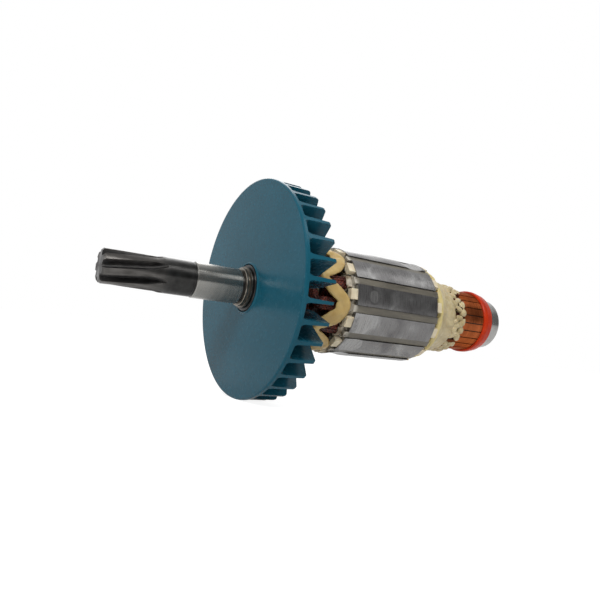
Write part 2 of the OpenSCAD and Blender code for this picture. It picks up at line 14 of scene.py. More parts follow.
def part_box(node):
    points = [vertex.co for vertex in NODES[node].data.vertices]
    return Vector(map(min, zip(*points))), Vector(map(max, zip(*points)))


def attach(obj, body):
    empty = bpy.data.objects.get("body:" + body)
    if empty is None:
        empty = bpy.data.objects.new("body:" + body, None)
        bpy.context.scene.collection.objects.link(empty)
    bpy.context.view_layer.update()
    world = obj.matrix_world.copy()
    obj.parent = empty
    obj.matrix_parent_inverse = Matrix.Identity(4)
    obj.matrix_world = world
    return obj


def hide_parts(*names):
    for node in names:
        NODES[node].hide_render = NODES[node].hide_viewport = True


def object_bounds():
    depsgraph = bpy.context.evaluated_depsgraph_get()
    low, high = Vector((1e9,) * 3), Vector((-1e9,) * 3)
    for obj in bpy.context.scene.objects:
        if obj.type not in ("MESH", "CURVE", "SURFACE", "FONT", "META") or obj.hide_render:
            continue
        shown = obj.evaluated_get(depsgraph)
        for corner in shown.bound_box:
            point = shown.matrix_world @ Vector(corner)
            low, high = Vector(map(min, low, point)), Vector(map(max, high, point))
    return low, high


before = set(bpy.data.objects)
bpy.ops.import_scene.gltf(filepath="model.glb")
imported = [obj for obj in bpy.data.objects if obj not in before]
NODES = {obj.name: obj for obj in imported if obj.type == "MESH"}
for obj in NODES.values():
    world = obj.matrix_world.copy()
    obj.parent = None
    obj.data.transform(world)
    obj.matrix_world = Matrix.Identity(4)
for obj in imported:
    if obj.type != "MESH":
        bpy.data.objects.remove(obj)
cad_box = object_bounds()
MM = 0.001
ROTOR = "rotor"
ALONG = Vector((1, 0, 0))


# ------------------------------------------------------------------ places
def span(node):
    """Ends of a CAD node along the shaft, in millimetres."""
    lo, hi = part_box(node)
    return lo.x / MM, hi.x / MM


def radius(node):
    """Largest distance from the shaft's axis to a CAD node's surface, in millimetres."""
    return max(math.hypot(v.co.y, v.co.z) for v in NODES[node].data.vertices) / MM


core_x0, core_x1 = span("core_laminations")
core_r = radius("core_laminations")
hooks_x0 = span("commutator_bars")[0]
resin_x0, resin_x1 = span("lead_resin")
resin_r = radius("lead_resin")
bead_x0, bead_x1 = span("binding_bead")
sleeve_r = radius("shaft_sleeve")
bar_r = radius("commutator_bars")
fan_x0 = span("fan")[0]

# Lengths of the shaft's zones in front of the fan's face
FAN_GAP = 5.5
JOURNAL_L = 22.4
COLLAR_L = 15.4
# Distances from the axis where the painted highlight on the pinion's teeth starts, and where it is
# strongest
HIGHLIGHT_FROM, HIGHLIGHT_TO = 6.6, 7.7

# Counts and angles as in part.scad; angles in degrees from +Z towards -Y
SLOTS = 12
PITCH = 360 / SLOTS
SLOT_PHASE = 8.8
BARS = 24
BAR_PHASE = 13.5
# Length of the hooked ends of the bars
HOOK_ZONE = 8.0


def polar(r, a):
    """Y and Z of a point at radius r and angle a from +Z towards -Y."""
    t = math.radians(a)
    return -r * math.sin(t), r * math.cos(t)


def at(x, r, a):
    """A point at place x along the shaft, radius r and angle a."""
    return Vector((x, *polar(r, a)))


# --------------------------------------------------------------- materials
class Paint:
    """A node material in the making. Coordinates are the frame's own, in metres."""

    def __init__(self, name):
        self.material = bpy.data.materials.new(name)
        self.material.use_nodes = True
        self.tree = self.material.node_tree
        self.shader = self.tree.nodes["Principled BSDF"]
        self.place = self.add("ShaderNodeTexCoord").outputs["Object"]

    def add(self, kind, **settings):
        """A new node with its settings."""
        node = self.tree.nodes.new(kind)
        for key, value in settings.items():
            setattr(node, key, value)
        return node

    def link(self, source, socket):
        """Joins an output to an input."""
        self.tree.links.new(source, socket)

    def feed(self, socket, value):
        """Links a socket, or sets a constant on the input itself."""
        if isinstance(value, bpy.types.NodeSocket):
            self.link(value, socket)
        else:
            socket.default_value = value

    def maths(self, operation, a, b=0.0):
        """Result of an operation on one or two values or sockets."""
        node = self.add("ShaderNodeMath", operation=operation)
        self.feed(node.inputs[0], a)
        self.feed(node.inputs[1], b)
        return node.outputs[0]

    def axes(self):
        """X, Y and Z of the shaded point."""
        node = self.add("ShaderNodeSeparateXYZ")
        self.link(self.place, node.inputs[0])
        return node.outputs

    def off_axis(self):
        """Distance of the shaded point from the shaft's axis."""
        _, y, z = self.axes()
        return self.maths("SQRT", self.maths("ADD", self.maths("MULTIPLY", y, y),
                                             self.maths("MULTIPLY", z, z)))

    def noise(self, scale, detail=3.0, stretch=(1, 1, 1), distortion=0.0):
        """Noise with features about 1/scale metres across."""
        mapping = self.add("ShaderNodeMapping")
        self.link(self.place, mapping.inputs["Vector"])
        mapping.inputs["Scale"].default_value = stretch
        node = self.add("ShaderNodeTexNoise")
        self.link(mapping.outputs[0], node.inputs["Vector"])
        node.inputs["Scale"].default_value = scale
        node.inputs["Detail"].default_value = detail
        node.inputs["Distortion"].default_value = distortion
        return node.outputs["Fac"]

    def ramp(self, factor, stops):
        """Colour ramp; stops are (place, colour or grey)."""
        node = self.add("ShaderNodeValToRGB")
        self.link(factor, node.inputs[0])
        elements = node.color_ramp.elements
        while len(elements) < len(stops):
            elements.new(0.5)
        for element, (place, value) in zip(elements, stops):
            element.position = place
            grey = not hasattr(value, "__len__")
            element.color = (value, value, value, 1) if grey else (*value, 1)
        return node.outputs[0]

    def scaled(self, value, low, high):
        """0 where the value is at low or past it, 1 where it is at high or past it."""
        node = self.add("ShaderNodeMapRange")
        self.feed(node.inputs["Value"], value)
        node.inputs["From Min"].default_value = low
        node.inputs["From Max"].default_value = high
        return node.outputs[0]

    def blend(self, factor, a, b, mode="MIX"):
        """Colour a, with b laid over it by the factor."""
        node = self.add("ShaderNodeMix", data_type="RGBA", blend_type=mode)
        self.feed(node.inputs[0], factor)
        for index, value in ((6, a), (7, b)):
            if not isinstance(value, bpy.types.NodeSocket):
                value = (*value, 1) if hasattr(value, "__len__") else (value, value, value, 1)
            self.feed(node.inputs[index], value)
        return node.outputs[2]

    def bump(self, height, depth):
        """Relief of the given depth in millimetres over the height's 0 to 1."""
        node = self.add("ShaderNodeBump")
        node.inputs["Strength"].default_value = 1
        node.inputs["Distance"].default_value = depth * MM
        self.link(height, node.inputs["Height"])
        self.link(node.outputs[0], self.shader.inputs["Normal"])

    def round_polish(self, share):
        """Stretches highlights along the shaft, as turning and grinding round it does."""
        tangent = self.add("ShaderNodeTangent", direction_type="RADIAL", axis="X")
        self.link(tangent.outputs[0], self.shader.inputs["Tangent"])
        self.shader.inputs["Anisotropic"].default_value = share
        self.shader.inputs["Anisotropic Rotation"].default_value = 0.25

    def set(self, **values):
        """Constants straight on the shader; names have _ for spaces."""
        for key, value in values.items():
            self.feed(self.shader.inputs[key.replace("_", " ")], value)

    def colour(self, value):
        self.feed(self.shader.inputs["Base Color"], value)

    def rough(self, value):
        self.feed(self.shader.inputs["Roughness"], value)


def shaft_steel():
    """Ground bright journal between a heat-darkened pinion and collar; the pinion's teeth carry a painted
    highlight towards their tips.
    """
    p = Paint("shaft_steel")
    x = p.axes()[0]
    journal_x1 = (fan_x0 - FAN_GAP) * MM
    journal_x0 = journal_x1 - JOURNAL_L * MM
    collar_x0 = journal_x0 - COLLAR_L * MM
    journal = p.maths("MULTIPLY", p.scaled(x, journal_x0, journal_x0 + 0.0002),
                      p.scaled(x, journal_x1 + 0.0004, journal_x1))
    teeth = p.scaled(x, collar_x0 + 0.003, collar_x0 - 0.004)
    # Painted highlight: the teeth are painted lighter towards their tips
    film_and_highlight = p.maths("MULTIPLY", teeth, p.scaled(p.off_axis(), HIGHLIGHT_FROM * MM, HIGHLIGHT_TO * MM))
    lines = p.noise(900, 3, (6, 0.12, 0.12))
    grey = p.noise(300, 4)
    black = p.ramp(grey, [(0.3, (0.034, 0.033, 0.032)), (0.7, (0.056, 0.055, 0.053))])
    root = p.ramp(grey, [(0.3, (0.068, 0.066, 0.065)), (0.7, (0.098, 0.095, 0.093))])
    # Colour of the painted highlight on the teeth's tips and flanks
    flank_highlight = p.ramp(p.noise(500, 4, (0.3, 1, 1)), [(0.3, (0.066, 0.062, 0.057)),
                                                  (0.7, (0.150, 0.142, 0.133))])
    dark = p.blend(p.maths("MULTIPLY", film_and_highlight, 0.8), p.blend(teeth, black, root), flank_highlight)
    bright = p.ramp(lines, [(0.25, (0.22, 0.215, 0.20)), (0.75, (0.31, 0.302, 0.282))])
    p.colour(p.blend(journal, dark, bright))
    p.rough(p.blend(journal, p.ramp(lines, [(0.3, 0.36), (0.7, 0.46)]),
                    p.ramp(lines, [(0.3, 0.20), (0.7, 0.27)])))
    p.bump(lines, 0.004)
    p.round_polish(0.9)
    p.set(Metallic=0.95)
    return p.material


def fan_plastic():
    """Semi-gloss injection-moulded teal with faint flow marks and a smooth skin."""
    p = Paint("fan_plastic")
    flow = p.noise(24, 3, (1, 1, 1), 0.6)
    p.colour(p.ramp(flow, [(0.35, (0.0050, 0.061, 0.092)), (0.65, (0.0062, 0.070, 0.106))]))
    p.rough(p.ramp(p.noise(420, 3), [(0.3, 0.20), (0.7, 0.30)]))
    p.bump(p.noise(120, 2), 0.010)
    p.set(Specular_IOR_Level=0.12)
    return p.material


def dark_steel():
    """Turned bush: blackened grooves and ridges, with painted highlights on the ridges' crests."""
    p = Paint("dark_steel")
    x = p.axes()[0]
    lo = span("fan_bush")[0]
    nose = fan_x0 - lo
    lines = p.noise(700, 2, (6, 0.1, 0.1))
    # Painted highlights: thin rings at the ridges' crests are painted lighter
    crest_highlight = 0.0
    for share in (0.02, 0.25, 0.45, 0.60):
        near = p.maths("ABSOLUTE", p.maths("SUBTRACT", x, (lo + share * nose) * MM))
        crest_highlight = p.maths("MAXIMUM", crest_highlight, p.scaled(near, 0.00022, 0.00008))
    base = p.ramp(p.noise(380, 4), [(0.3, (0.020, 0.020, 0.021)), (0.7, (0.060, 0.058, 0.056))])
    # Colour of the painted highlights on the crests
    film_and_highlight = p.ramp(p.noise(600, 3), [(0.3, (0.16, 0.14, 0.11)), (0.7, (0.34, 0.31, 0.26))])
    p.colour(p.blend(p.maths("MULTIPLY", crest_highlight, 0.85), base, film_and_highlight))
    p.rough(p.ramp(lines, [(0.3, 0.26), (0.7, 0.42)]))
    p.bump(lines, 0.010)
    p.round_polish(0.5)
    p.set(Metallic=0.9)
    return p.material


def core_steel():
    """Ground stack of laminations: fine lines across the shaft and cloudy burnished patches."""
    p = Paint("core_steel")
    sheets = p.add("ShaderNodeTexWave", wave_type="BANDS", bands_direction="X", wave_profile="SIN")
    p.link(p.place, sheets.inputs["Vector"])
    sheets.inputs["Scale"].default_value = 314
    sheets.inputs["Distortion"].default_value = 0.15
    fine = p.noise(420, 5, (9, 0.35, 0.35))
    cloud = p.noise(60, 4, (1, 1, 1), 0.8)
    tone = p.ramp(cloud, [(0.34, (0.130, 0.126, 0.128)), (0.46, (0.185, 0.181, 0.180)),
                          (0.58, (0.215, 0.212, 0.210)), (0.66, (0.32, 0.318, 0.315))])
    stain = p.ramp(p.noise(38, 5, (0.5, 1, 1), 1.2), [(0.55, 1.0), (0.72, 0.62)])
    _, y, z = p.axes()
    turn = p.maths("ADD", p.maths("ARCTAN2", p.maths("MULTIPLY", y, -1), z),
                   math.tau - math.radians(SLOT_PHASE))
    slot = p.maths("ABSOLUTE", p.maths("SUBTRACT", p.maths("MODULO", turn, math.radians(PITCH)),
                                       math.radians(PITCH / 2)))
    # The balance cuts lie under the ground surface, in the middle of a tooth
    milled = p.maths("MULTIPLY", p.scaled(p.off_axis(), (core_r - 0.08) * MM, (core_r - 0.16) * MM),
                     p.scaled(slot, math.radians(11), math.radians(10)))
    ground = p.blend(0.55, tone, p.ramp(fine, [(0.25, 0.45), (0.75, 1.0)]), "MULTIPLY")
    ground = p.blend(1.0, ground, stain, "MULTIPLY")
    bared = p.ramp(fine, [(0.3, (0.18, 0.178, 0.175)), (0.7, (0.34, 0.335, 0.33))])
    p.colour(p.blend(milled, ground, bared))
    p.rough(p.ramp(fine, [(0.3, 0.24), (0.7, 0.38)]))
    relief = p.maths("ADD", p.maths("MULTIPLY", sheets.outputs["Fac"], 0.4), fine)
    p.bump(relief, 0.010)
    p.round_polish(0.35)
    p.set(Metallic=0.9)
    return p.material


def cream_plastic():
    """Moulded cream insulation, mottled and slightly translucent."""
    p = Paint("cream_insulation")
    p.colour(p.ramp(p.noise(180, 4), [(0.3, (0.47, 0.40, 0.28)), (0.7, (0.60, 0.53, 0.38))]))
    p.rough(p.ramp(p.noise(600, 3), [(0.3, 0.38), (0.7, 0.55)]))
    p.bump(p.noise(900, 3), 0.03)
    p.set(Subsurface_Weight=0.12, Subsurface_Radius=(0.0012, 0.0008, 0.0004), Subsurface_Scale=1.0,
          Specular_IOR_Level=0.35)
    return p.material


def liner_paper():
    """Crumpled insulating paper, soaked brown in places."""
    p = Paint("liner_paper")
    soaked = p.noise(230, 4)
    p.colour(p.ramp(soaked, [(0.30, (0.050, 0.030, 0.016)), (0.45, (0.20, 0.155, 0.10)),
                             (0.58, (0.42, 0.38, 0.31))]))
    p.rough(p.ramp(soaked, [(0.3, 0.4), (0.7, 0.75)]))
    p.bump(p.noise(700, 4), 0.12)
    p.set(Specular_IOR_Level=0.35)
    return p.material


def wedge_fibre():
    """Varnished fibre with streaks along the slot and a pale paper end at the fan side."""
    p = Paint("wedge_fibre")
    streak = p.noise(300, 5, (0.18, 1, 1))
    pool = p.noise(120, 4, (0.4, 1, 1), 0.8)
    end = p.maths("MULTIPLY", p.scaled(p.axes()[0], (core_x0 + 1.6) * MM, (core_x0 - 0.6) * MM), 0.85)
    paper = p.ramp(p.noise(420, 4), [(0.36, (0.09, 0.07, 0.045)), (0.52, (0.40, 0.37, 0.31))])
    fibre = p.ramp(streak, [(0.3, (0.052, 0.046, 0.033)), (0.7, (0.134, 0.119, 0.088))])
    fibre = p.blend(0.6, fibre, p.ramp(pool, [(0.3, 0.55), (0.6, 1.0)]), "MULTIPLY")
    p.colour(p.blend(end, fibre, paper))
    p.rough(p.ramp(streak, [(0.3, 0.3), (0.7, 0.55)]))
    p.bump(p.maths("ADD", streak, pool), 0.06)
    p.set(Coat_Weight=0.15, Coat_Roughness=0.25)
    return p.material


# Spacing of the crossing wires along and round the coils, and the radius at which they wrap, in metres
WEAVE_LONG, WEAVE_WIDE, WEAVE_R = 0.0019, 0.0012, 0.0155


def enamelled_wire():
    """Red-brown enamelled copper wire, darker where the varnish pools, with painted shade in the troughs
    between the crossing wires.
    """
    p = Paint("enamelled_wire")
    patch = p.noise(260, 4)
    x, y, z = p.axes()
    lap = p.maths("MULTIPLY", p.maths("ARCTAN2", y, z), WEAVE_R)
    weave = 0.0
    for lean in (1, -1):
        slant = p.maths("ADD", p.maths("MULTIPLY", x, math.tau / WEAVE_LONG),
                        p.maths("MULTIPLY", lap, lean * math.tau / WEAVE_WIDE))
        weave = p.maths("MAXIMUM", weave, p.maths("SINE", slant))
    base = p.ramp(patch, [(0.28, (0.030, 0.005, 0.003)), (0.5, (0.105, 0.016, 0.008)),
                          (0.75, (0.26, 0.050, 0.024))])
    # Painted shade: the colour is darkened in the troughs between the crossing wires
    p.colour(p.blend(1.0, base, p.ramp(weave, [(0.05, 0.22), (0.6, 1.0)]), "MULTIPLY"))
    p.rough(p.ramp(p.noise(700, 3), [(0.3, 0.22), (0.7, 0.42)]))
    p.bump(p.maths("ADD", weave, p.maths("MULTIPLY", p.noise(1200, 2), 0.2)), 0.22)
    p.set(Specular_IOR_Level=0.4, Coat_Weight=0.12, Coat_Roughness=0.16, Metallic=0.15)
    return p.material


def resin(name, low, high, gloss, lip=None):
    """Poured resin, unevenly tinted, with small pits and a soft sheen. A lip is yellower."""
    p = Paint(name)
    tint = p.noise(130, 4, (1, 1, 1), 0.5)
    colour = p.ramp(tint, [(0.28, low), (0.72, high)])
    if lip:
        near = p.scaled(p.axes()[0], (resin_x0 + 5) * MM, (resin_x0 + 3.4) * MM)
        colour = p.blend(near, colour, p.ramp(tint, [(0.28, tuple(0.8 * c for c in lip)), (0.72, lip)]))
    p.colour(colour)
    p.rough(p.ramp(p.noise(420, 3), [(0.3, gloss), (0.7, gloss + 0.2)]))
    p.bump(p.noise(480, 3), 0.10)
    p.set(Subsurface_Weight=0.15, Subsurface_Radius=(0.002, 0.0013, 0.0006), Subsurface_Scale=1.0,
          Specular_IOR_Level=0.35)
    return p.material


def commutator_copper():
    """Turned copper with fine tracks round the shaft and a brown film, stained at the hooks."""
    p = Paint("commutator_copper")
    tracks = p.noise(650, 4, (5, 0.12, 0.12))
    film = p.noise(90, 4)
    base = p.ramp(tracks, [(0.28, (0.20, 0.050, 0.017)), (0.72, (0.46, 0.128, 0.044))])
    near_hooks = p.scaled(p.axes()[0], (hooks_x0 + HOOK_ZONE + 1) * MM, (hooks_x0 + HOOK_ZONE - 0.5) * MM)
    film_and_highlight = p.blend(1.0, base, p.ramp(film, [(0.3, 0.6), (0.65, 1.0)]), "MULTIPLY")
    stain = p.ramp(film, [(0.3, (0.030, 0.014, 0.008)), (0.7, (0.070, 0.032, 0.018))])
    p.colour(p.blend(p.maths("MULTIPLY", near_hooks, 0.85), film_and_highlight, stain))
    p.rough(p.ramp(tracks, [(0.3, 0.24), (0.7, 0.42)]))
    p.bump(tracks, 0.02)
    p.round_polish(0.5)
    p.set(Metallic=0.9, Specular_Tint=(0.58, 0.36, 0.28, 1))
    return p.material


def phenolic():
    """Dark moulded phenolic between the bars."""
    p = Paint("phenolic")
    p.colour(p.ramp(p.noise(500, 4), [(0.3, (0.012, 0.006, 0.004)), (0.7, (0.035, 0.020, 0.012))]))
    p.rough(0.5)
    p.bump(p.noise(900, 3), 0.03)
    p.set(Specular_IOR_Level=0.3)
    return p.material


def orange_plastic():
    """Moulded orange insulation, a little mottled, with a satin skin."""
    p = Paint("orange_plastic")
    p.colour(p.ramp(p.noise(120, 3), [(0.3, (0.33, 0.018, 0.003)), (0.7, (0.45, 0.033, 0.005))]))
    p.rough(p.ramp(p.noise(600, 3), [(0.3, 0.26), (0.7, 0.40)]))
    p.bump(p.noise(800, 2), 0.01)
    p.set(Specular_IOR_Level=0.07)
    return p.material


def bright_steel(name, tone, gloss):
    """Ground or polished metal with fine lines round the shaft."""
    p = Paint(name)
    lines = p.noise(800, 3, (5, 0.1, 0.1))
    p.colour(p.ramp(p.noise(220, 3), [(0.3, tuple(0.8 * c for c in tone)), (0.7, tone)]))
    p.rough(p.ramp(lines, [(0.3, gloss), (0.7, gloss + 0.12)]))
    p.bump(lines, 0.008)
    p.round_polish(0.6)
    p.set(Metallic=0.95)
    return p.material


def seal_rubber():
    """Matt black rubber of the bearing's seals."""
    p = Paint("seal_rubber")
    p.colour(p.ramp(p.noise(400, 3), [(0.3, (0.010, 0.010, 0.011)), (0.7, (0.022, 0.021, 0.021))]))
    p.rough(0.55)
    p.bump(p.noise(1600, 3), 0.02)
    return p.material


CREAM = resin("bonding_resin", (0.29, 0.185, 0.054), (0.47, 0.345, 0.138), 0.28)
PALE = resin("pale_resin", (0.31, 0.24, 0.118), (0.49, 0.415, 0.25), 0.34, (0.56, 0.46, 0.20))
COPPER_WIRE = enamelled_wire()
FINISHES = {
    "shaft": shaft_steel(),
    "fan": fan_plastic(),
    "fan_bush": dark_steel(),
    "shaft_sleeve": cream_plastic(),
    "core_laminations": core_steel(),
    "slot_liners": liner_paper(),
    "slot_wedges": wedge_fibre(),
    "lead_wires": COPPER_WIRE,
    "commutator_bars": commutator_copper(),
    "commutator_moulding": phenolic(),
    "insulation_washer": orange_plastic(),
    "bearing_inner_ring": bright_steel("bearing_steel", (0.35, 0.345, 0.335), 0.16),
    "bearing_balls": bright_steel("ball_steel", (0.50, 0.50, 0.50), 0.08),
    "bearing_cage": bright_steel("cage_brass", (0.45, 0.30, 0.11), 0.25),
    "bearing_seal_front": seal_rubber(),
}
FINISHES["front_end_insulator"] = FINISHES["rear_end_insulator"] = FINISHES["shaft_sleeve"]
FINISHES["bearing_outer_ring"] = FINISHES["bearing_inner_ring"]
FINISHES["bearing_seal_rear"] = FINISHES["bearing_seal_front"]
FINISHES["binding_bead"] = FINISHES["lead_resin"] = CREAM
for i in range(SLOTS):
    FINISHES[f"coil_{i + 1:02d}"] = COPPER_WIRE
for name, material in FINISHES.items():
    NODES[name].data.materials.clear()
    NODES[name].data.materials.append(material)


# ---------------------------------------------------------- mesh building
def make(name, verts, faces, material, replaced=()):
    """A new piece on the rotor from points in millimetres."""
    mesh = bpy.data.meshes.new(name)
    mesh.from_pydata([tuple(c * MM for c in v) for v in verts], [], faces)
    mesh.validate()
    mesh.update()
    mesh.polygons.foreach_set("use_smooth", [True] * len(mesh.polygons))
    mesh.materials.append(material)
    piece = bpy.data.objects.new(name, mesh)
    bpy.context.scene.collection.objects.link(piece)
    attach(piece, ROTOR)
    if replaced:
        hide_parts(*replaced)
    return piece


def sweep(verts, faces, rings):
    """Adds a tube through a closed loop of rings of points to verts and faces."""
    base, sides, count = len(verts), len(rings[0]), len(rings)
    for ring in rings:
        verts.extend(ring)
    for i in range(count):
        here, ahead = base + i * sides, base + (i + 1) % count * sides
        for k in range(sides):
            m = (k + 1) % sides
            faces.append((here + k, here + m, ahead + m, ahead + k))


def fused(name, verts, faces, voxel, lumps, material, replaced=()):
    """Joins overlapping closed shapes into one poured-looking skin with soft lumps.

    voxel is the size of the skin's cells and lumps the height of its unevenness.
    """
    piece = make(name, verts, faces, material, replaced)
    remesh = piece.modifiers.new("join", "REMESH")
    remesh.mode = "VOXEL"
    remesh.voxel_size = voxel * MM
    remesh.use_smooth_shade = True
    soften = piece.modifiers.new("soften", "SMOOTH")
    soften.factor, soften.iterations = 0.6, 6
    graph = bpy.context.evaluated_depsgraph_get()
    mesh = bpy.data.meshes.new_from_object(piece.evaluated_get(graph))
    piece.modifiers.clear()
    piece.data = mesh
    mesh.materials.clear()
    mesh.materials.append(material)
    normals = [v.normal.copy() for v in mesh.vertices]
    for v, normal in zip(mesh.vertices, normals):
        depth = noise.noise(v.co * 420) * 0.6 + noise.noise(v.co * 1100) * 0.3
        v.co += normal * depth * lumps * MM
    mesh.polygons.foreach_set("use_smooth", [True] * len(mesh.polygons))
    mesh.update()


# ------------------------------------------------------------------ coils
# The lap winding as in part.scad: number of opposite pairs of coils, and slots that a coil spans
PAIRS = SLOTS // 2
SPAN = PAIRS - 1
# Thickness of a layer of end turns at the fan end and at the rear, and gap from the core to the first
LAYER = {False: 3.5, True: 2.6}
LAYER_START = 2
# Radius of the lower and upper coil sides, and half heights and half widths
COIL_R = (17.6, 22.5)
COIL_HH = 2.2
SIDE_HW = (1.9, 3.1)
TURN_HW = 2.2
# Wires in each coil: radius, number that run side by side, and number that cross over them
WIRE_R = 0.43
STRANDS = 18
CROSSING = 7


def level_a(pair):
    """Level of a coil's first side in its slot: 0 is the lower, 1 the upper."""
    return 1 if pair == PAIRS - 1 else 0


def level_b(pair):
    """Level of a coil's second side in its slot."""
    return 0 if pair == 0 else 1


def side_r(level, share, rear):
    """Radius of a coil side at a share of the way out from the core."""
    drop = (1 if rear else 0.5) if level == 0 else (3.3 if rear else 1.8)
    return COIL_R[level] - drop * share


def end_turn(pair, flip, rear):
    """Stations of one end turn: place, half height, half width."""
    way = 1 if rear else -1
    face = core_x1 if rear else core_x0
    layer = LAYER[rear]
    middle = LAYER_START + (pair + 0.5) * layer
    share = middle / (LAYER_START + PAIRS * layer)
    bend = min(2.4, middle - 0.8)
    angle = SLOT_PHASE + (pair + SPAN / 2 + flip * PAIRS) * PITCH
    half = SPAN * PITCH / 2
    la, lb = level_a(pair), level_b(pair)
    ra, rb = side_r(la, share, rear), side_r(lb, share, rear)
    sh, hh = COIL_HH - (1 if rear else 0.5) * share, layer / 2 - 0.1
    near, turn = face + way * (middle - bend), face + way * middle
    rise = face + way * (middle - 0.3 * bend)
    stations = [(at(near, ra, angle - half), sh, SIDE_HW[la]),
                (at(rise, ra - 0.3 * bend, angle - half), (sh + hh) / 2, TURN_HW)]
    for i in range(9):
        u = i / 4 - 1
        end = (ra if u < 0 else rb) - bend
        edge, top = end * math.cos(math.radians(half)), sleeve_r + 0.25 + TURN_HW
        out = edge + (top - edge) * (1 - abs(u) ** 1.5)
        lateral = u * end * math.sin(math.radians(half))
        m, s = polar(out, angle), polar(lateral, angle + 90)
        stations.append((Vector((turn, m[0] + s[0], m[1] + s[1])), hh, TURN_HW))
    stations += [(at(rise, rb - 0.3 * bend, angle + half), (sh + hh) / 2, TURN_HW),
                 (at(near, rb, angle + half), sh, SIDE_HW[lb])]
    return stations


def coil_stations(pair, flip):
    """A closed loop of stations: place, half height, half width, direction across."""
    a = SLOT_PHASE + (pair + flip * PAIRS) * PITCH
    b = a + SPAN * PITCH
    ta, tb = at(0, 1, a + 90), at(0, 1, b + 90)
    loop = []
    for rear in (False, True):
        turn = end_turn(pair, flip, rear)
        across = []
        for i in range(len(turn)):
            if i < 2:
                across.append(-ta)
            elif i > len(turn) - 3:
                across.append(tb)
            else:
                d = turn[i + 1][0] - turn[i - 1][0]
                across.append(Vector((0, -d.z, d.y)).normalized())
        rows = [(*s, w) for s, w in zip(turn, across)]
        loop.append(rows if not rear else rows[::-1])

    def side(x, level, angle, w):
        return (at(x, COIL_R[level], angle), COIL_HH, SIDE_HW[level], w)

    la, lb = level_a(pair), level_b(pair)
    return (loop[0] + [side(core_x0, lb, b, tb), side(core_x1, lb, b, tb)]
            + loop[1] + [side(core_x1, la, a, -ta), side(core_x0, la, a, -ta)])


def spline(p, q, r, s, t):
    """Catmull-Rom between q and r."""
    return 0.5 * ((2 * q) + (r - p) * t + (2 * p - 5 * q + 4 * r - s) * t * t
                  + (3 * q - p - 3 * r + s) * t ** 3)


def fine_loop(rows, steps):
    """A loop of stations with steps between each two, straight along the slots."""
    count = len(rows)
    fine = []
    for i in range(count):
        p, q, r, s = (rows[(i + k) % count] for k in (-1, 0, 1, 2))
        long = (r[0] - q[0]).length > 30
        for j in range(steps):
            t = j / steps
            if long:
                place = q[0].lerp(r[0], t)
            else:
                place = spline(p[0], q[0], r[0], s[0], t)
            fine.append((place, q[1] + (r[1] - q[1]) * t, q[2] + (r[2] - q[2]) * t, q[3].lerp(r[3], t)))
    return fine


def coil_strands(number, draw):
    """Wire strands round one coil's section, with a filled heart behind them."""
    pair, flip = (number - 1) % PAIRS, (number - 1) // PAIRS
    rows = fine_loop(coil_stations(pair, flip), 4)
    count = len(rows)
    frames = []
    for i in range(count):
        t = (rows[(i + 1) % count][0] - rows[i - 1][0]).normalized()
        w = rows[i][3]
        w = (w - w.dot(t) * t).normalized()
        frames.append((t, w, t.cross(w)))
    verts, faces, heart = [], [], []
    for (place, hh, hw, _), (t, w, h) in zip(rows, frames):
        inner_w, inner_h = hw - 2 * WIRE_R + 0.15, hh - 2 * WIRE_R + 0.15
        heart.append([place + w * inner_w * math.cos(a) + h * inner_h * math.sin(a)
                      for a in (math.tau * k / 10 for k in range(10))])
    sweep(verts, faces, heart)
    for n in range(STRANDS + CROSSING):
        crossing = n >= STRANDS
        phase = draw.uniform(0, math.tau)
        sway = draw.uniform(0.35, 0.6) if crossing else draw.uniform(0.05, 0.16)
        dip = draw.uniform(-0.42, -0.3) if crossing else draw.uniform(0.0, 0.22)
        turns = draw.choice((6, 7, 8)) if crossing else draw.choice((3, 4, 5))
        rings = []
        for i, ((place, hh, hw, _), (t, w, h)) in enumerate(zip(rows, frames)):
            s = math.tau * i / count
            a = math.tau * n / (CROSSING if crossing else STRANDS) + sway * math.sin(turns * s + phase)
            c, d = math.cos(a), math.sin(a)
            u = math.copysign(abs(c) ** 0.75, c)
            v = math.copysign(abs(d) ** 0.75, d)
            inset = WIRE_R + dip * (1 if crossing else 0.5 + 0.5 * math.sin(2 * s + phase * 2))
            middle = place + w * (hw - inset) * u + h * (hh - inset) * v
            rings.append([middle + WIRE_R * (w * math.cos(b) + h * math.sin(b))
                          for b in (math.tau * k / 6 for k in range(6))])
        sweep(verts, faces, rings)
    node = f"coil_{number:02d}"
    make(f"{node}_wires", verts, faces, COPPER_WIRE, [node])


draw = random.Random(7)
for number in range(1, SLOTS + 1):
    coil_strands(number, draw)


# ------------------------------------------------------------------ resin
def blob(verts, faces, middle, along, across, out, sizes, rings=8, sides=12):
    """An ellipsoid with half sizes along three directions."""
    base = len(verts)
    verts.append(middle + along * sizes[0])
    for i in range(1, rings):
        a = math.pi * i / rings
        for k in range(sides):
            b = math.tau * k / sides
            verts.append(middle + along * sizes[0] * math.cos(a)
                         + (across * sizes[1] * math.cos(b) + out * sizes[2] * math.sin(b)) * math.sin(a))
    verts.append(middle - along * sizes[0])
    last = len(verts) - 1
    for k in range(sides):
        m = (k + 1) % sides
        faces.append((base, base + 1 + k, base + 1 + m))
        faces.append((last, last - sides + m, last - sides + k))
        for i in range(rings - 2):
            r0, r1 = base + 1 + i * sides, base + 1 + (i + 1) * sides
            faces.append((r0 + k, r1 + k, r1 + m, r0 + m))


# The binding bead's zigzag as in part.scad, its half width, and its height over and under its line
PEAKS = 6
BEAD_PHASE = SLOT_PHASE + PITCH
BEAD_HALF = 2.7
BEAD_OVER, BEAD_UNDER = 1.35, 2.0
bead_x = (bead_x0 + bead_x1) / 2
bead_swing = (bead_x1 - bead_x0) / 2 - BEAD_HALF
bead_r = radius("binding_bead") - BEAD_OVER
# The web in each peak's crook: angle past the peak, distance back from it, half length, half width
BEAD_WEBS = ((0.5, 2.4, 3.9, 4.6), (4.5, 3.4, 3.2, 3.6), (-4.0, 2.6, 2.8, 3.2))


